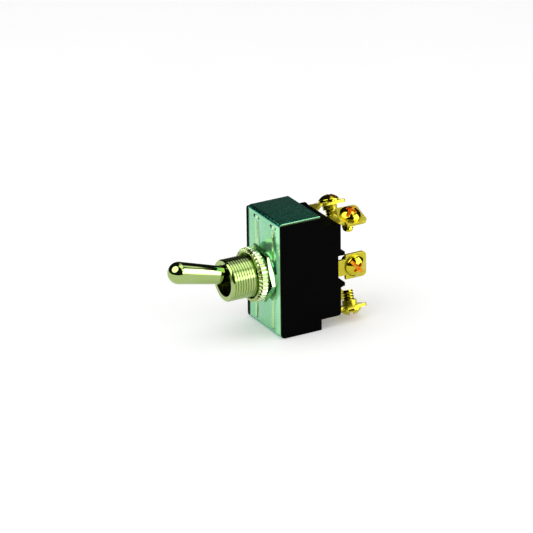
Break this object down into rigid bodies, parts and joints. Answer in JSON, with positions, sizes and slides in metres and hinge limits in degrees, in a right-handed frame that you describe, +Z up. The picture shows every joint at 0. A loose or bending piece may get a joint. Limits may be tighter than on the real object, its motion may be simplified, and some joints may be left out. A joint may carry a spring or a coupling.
{
  "type": "panel toggle switch",
  "caption": "Panel toggle switch with a bat lever in a threaded bushing, a folded metal cover over a black moulded case and brass screw terminals.",
  "frame": {"origin": "on the bushing's axis at the outer face of the face nut, where the free thread begins", "axes": "+X to the right seen from the lever side, +Y from the lever towards the terminals, +Z up, towards the side the lever is thrown to"},
  "size_m": [0.0218, 0.0578, 0.034],
  "materials": {
    "bushing_plate": "bright nickel plate with a pale yellow tint, on brass",
    "nut_plate": "bright nickel plate with a pale yellow tint, on brass",
    "lever_plate": "polished nickel plate with a pale yellow tint, on brass",
    "cover_plate": "thin satin mint-green plated steel sheet",
    "case_moulding": "black thermoset moulding, semi-gloss",
    "fibre_card": "matt vulcanised fibre",
    "terminal_brass": "bright stamped brass",
    "screw_brass": "bright turned brass",
    "contact_silver": "silver faced rivet",
    "rocker_brass": "formed brass blade",
    "spring_steel": "drawn wire",
    "steel_pin": "ground steel",
    "nylon": "natural nylon moulding"
  },
  "bodies": {
    "housing": {"bushing": "bushing_plate", "hex_nut": "nut_plate", "face_nut": "nut_plate", "cover": "cover_plate", "case": "case_moulding", "insulating_card": "fibre_card", "end_terminal_upper_left": "terminal_brass", "end_terminal_upper_right": "terminal_brass", "end_terminal_lower_left": "terminal_brass", "end_terminal_lower_right": "terminal_brass", "middle_terminal_left": "terminal_brass", "middle_terminal_right": "terminal_brass", "end_screw_upper_left": "screw_brass", "end_screw_upper_right": "screw_brass", "end_screw_lower_left": "screw_brass", "end_screw_lower_right": "screw_brass", "middle_screw_left": "screw_brass", "middle_screw_right": "screw_brass", "fixed_contact_upper_left": "contact_silver", "fixed_contact_upper_right": "contact_silver", "fixed_contact_lower_left": "contact_silver", "fixed_contact_lower_right": "contact_silver"},
    "lever": {"lever": "lever_plate", "pivot_pin": "steel_pin", "actuator": "nylon", "plunger_spring_left": "spring_steel", "plunger_spring_right": "spring_steel"},
    "plunger_left": {"plunger_left": "nylon"},
    "plunger_right": {"plunger_right": "nylon"},
    "rocker_left": {"rocker_left": "rocker_brass", "rocker_contact_upper_left": "contact_silver", "rocker_contact_lower_left": "contact_silver"},
    "rocker_right": {"rocker_right": "rocker_brass", "rocker_contact_upper_right": "contact_silver", "rocker_contact_lower_right": "contact_silver"}
  },
  "joints": [
    {"name": "lever_tilt", "type": "hinge", "parent": "housing", "child": "lever", "pos_m": [0, -0.0007, 0], "axis": [1, 0, 0], "range_deg": [0, 28]},
    {"name": "plunger_left", "type": "slide", "parent": "lever", "child": "plunger_left", "axis": [0, -0.9703, 0.2419], "range_m": [0, 0.0008], "stiffness_N_per_m": 1500, "springref_m": -0.002, "deforming": ["plunger_spring_left"]},
    {"name": "plunger_right", "type": "slide", "parent": "lever", "child": "plunger_right", "axis": [0, -0.9703, 0.2419], "range_m": [0, 0.0008], "stiffness_N_per_m": 1500, "springref_m": -0.002, "deforming": ["plunger_spring_right"]},
    {"name": "rocker_left", "type": "hinge", "parent": "housing", "child": "rocker_left", "pos_m": [-0.0042, 0.0196, 0], "axis": [1, 0, 0], "range_deg": [-12, 0]},
    {"name": "rocker_right", "type": "hinge", "parent": "housing", "child": "rocker_right", "pos_m": [0.0042, 0.0196, 0], "axis": [1, 0, 0], "range_deg": [-12, 0]}
  ],
  "couplings": [
    {"joint": "rocker_left", "follows": "lever_tilt", "ratio": -0.42857},
    {"joint": "rocker_right", "follows": "lever_tilt", "ratio": -0.42857}
  ]
}
